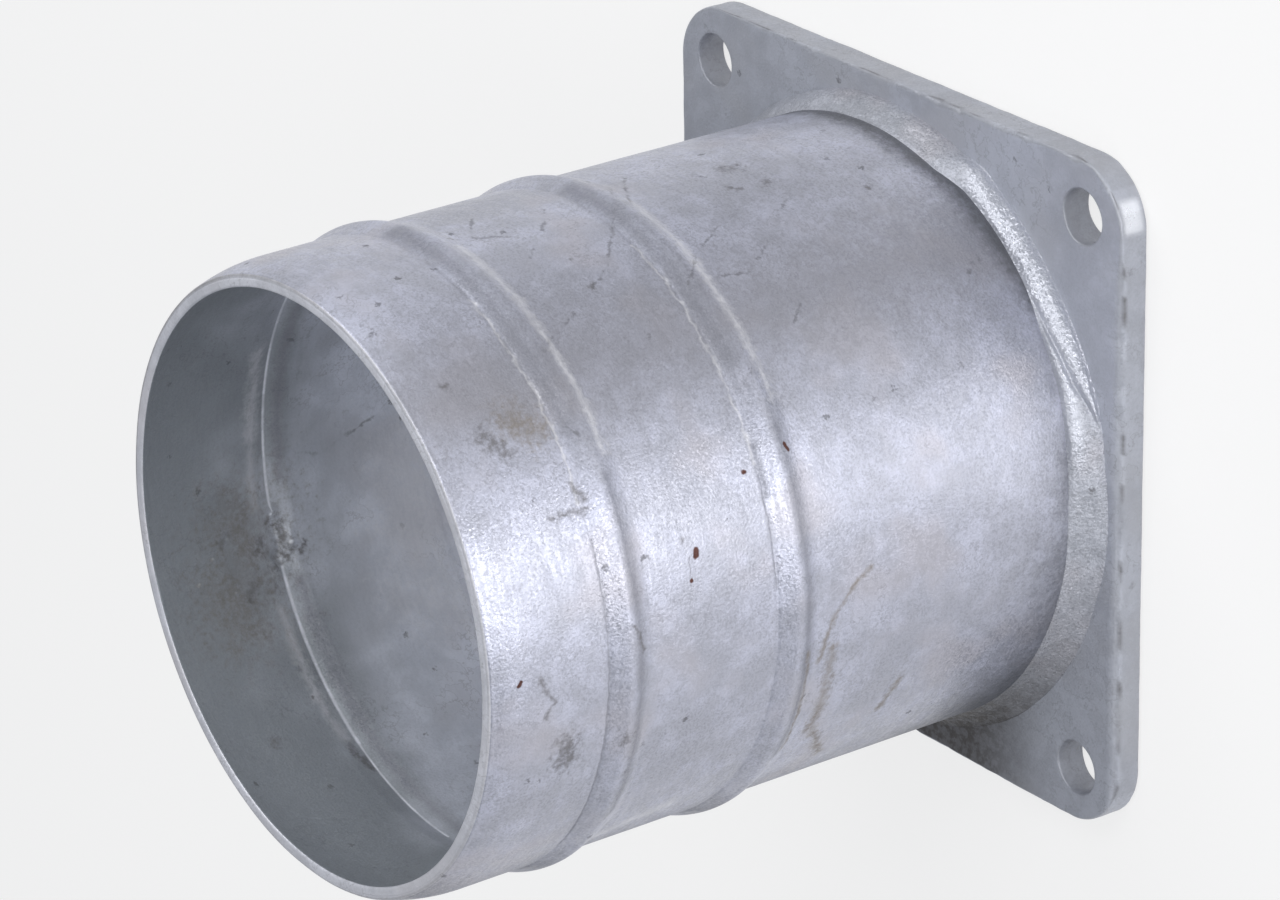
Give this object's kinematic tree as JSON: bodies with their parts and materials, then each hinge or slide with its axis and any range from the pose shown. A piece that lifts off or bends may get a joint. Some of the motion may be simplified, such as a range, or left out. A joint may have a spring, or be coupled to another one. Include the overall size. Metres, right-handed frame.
{
  "type": "hose spigot flange",
  "caption": "Galvanised hose spigot on a square bolt-on flange: a steel tube with raised hose beads and a turned-in nose, fillet-welded to a thick plate with corner bolt holes.",
  "frame": {"origin": "centre of the flange's back face, on the tube's axis", "axes": "+Z along the tube from the flange's back face to the mouth, X and Y along the plate's sides"},
  "size_m": [0.17, 0.17, 0.18],
  "materials": {
    "galvanised_steel": "hot-dip galvanised zinc, mottled satin"
  },
  "bodies": {
    "root": {"flange_plate": "galvanised_steel", "spigot_tube": "galvanised_steel", "flange_weld": "galvanised_steel"}
  },
  "joints": []
}
